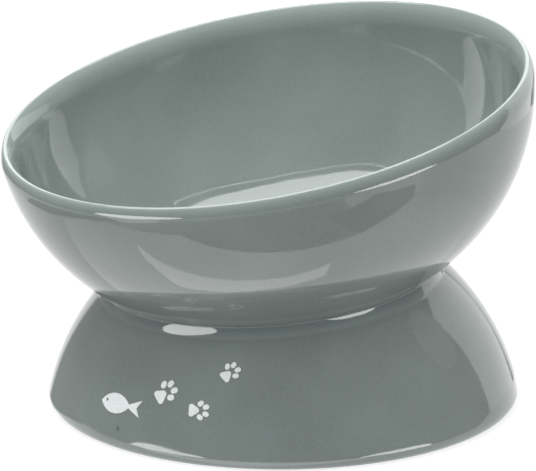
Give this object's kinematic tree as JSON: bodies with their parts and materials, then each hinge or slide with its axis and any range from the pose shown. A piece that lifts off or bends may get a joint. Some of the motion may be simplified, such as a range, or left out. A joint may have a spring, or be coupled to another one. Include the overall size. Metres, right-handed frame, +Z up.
{
  "type": "raised ceramic pet bowl",
  "caption": "Raised ceramic pet bowl: a round glazed bowl that leans towards its low side, cast in one piece with a domed hollow foot printed with paws and a fish",
  "frame": {"origin": "Middle of the foot's bottom ring, on the surface that the bowl stands on", "axes": "+Z up; the low side of the rim faces -X and the high side +X; the printed front faces -Y, with the print towards its -X end"},
  "size_m": [0.1477, 0.1496, 0.0992],
  "materials": {
    "glaze": "glossy grey-green glaze",
    "print": "pale grey-white print under a glossy glaze"
  },
  "bodies": {
    "root": {"bowl": "glaze", "paw_prints": "print", "fish_print": "print"}
  },
  "joints": []
}
